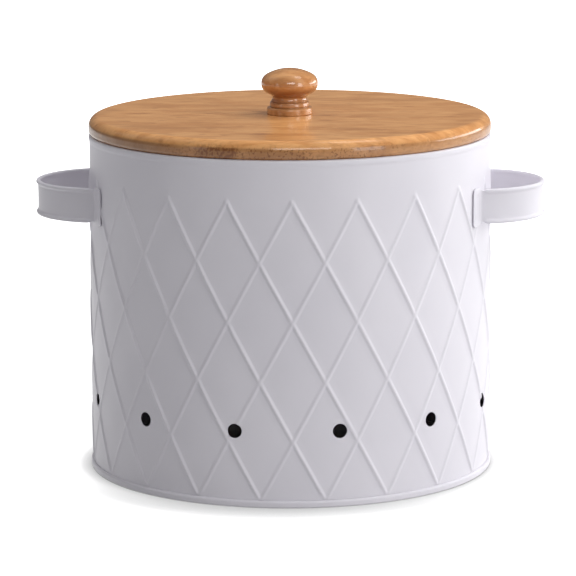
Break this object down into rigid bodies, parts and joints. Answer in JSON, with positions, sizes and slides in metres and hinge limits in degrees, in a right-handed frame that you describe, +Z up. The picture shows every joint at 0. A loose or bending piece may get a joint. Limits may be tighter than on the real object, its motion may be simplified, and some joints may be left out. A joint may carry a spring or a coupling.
{
  "type": "potato storage bin",
  "caption": "Round kitchen storage bin in embossed steel with vent holes, two strap handles and a lift-off wooden lid with a knob.",
  "frame": {"origin": "centre of the base ring, on the table", "axes": "+Z up, +X through the middle of one handle, -Y is the front"},
  "size_m": [0.3056, 0.2428, 0.2397],
  "materials": {
    "coated_steel": "satin white powder coat",
    "bamboo": "varnished, semi-gloss",
    "zinc_steel": "zinc plated"
  },
  "bodies": {
    "bin": {"body_shell": "coated_steel", "base_pan": "coated_steel", "handle_right": "coated_steel", "handle_left": "coated_steel"},
    "lid": {"lid_board": "bamboo", "lid_plug": "bamboo", "lid_knob": "bamboo", "knob_screw": "zinc_steel", "knob_washer": "zinc_steel"}
  },
  "joints": [
    {"name": "lid_lift", "type": "slide", "parent": "bin", "child": "lid", "axis": [0, 0, 1], "range_m": [0, 0.22]}
  ]
}
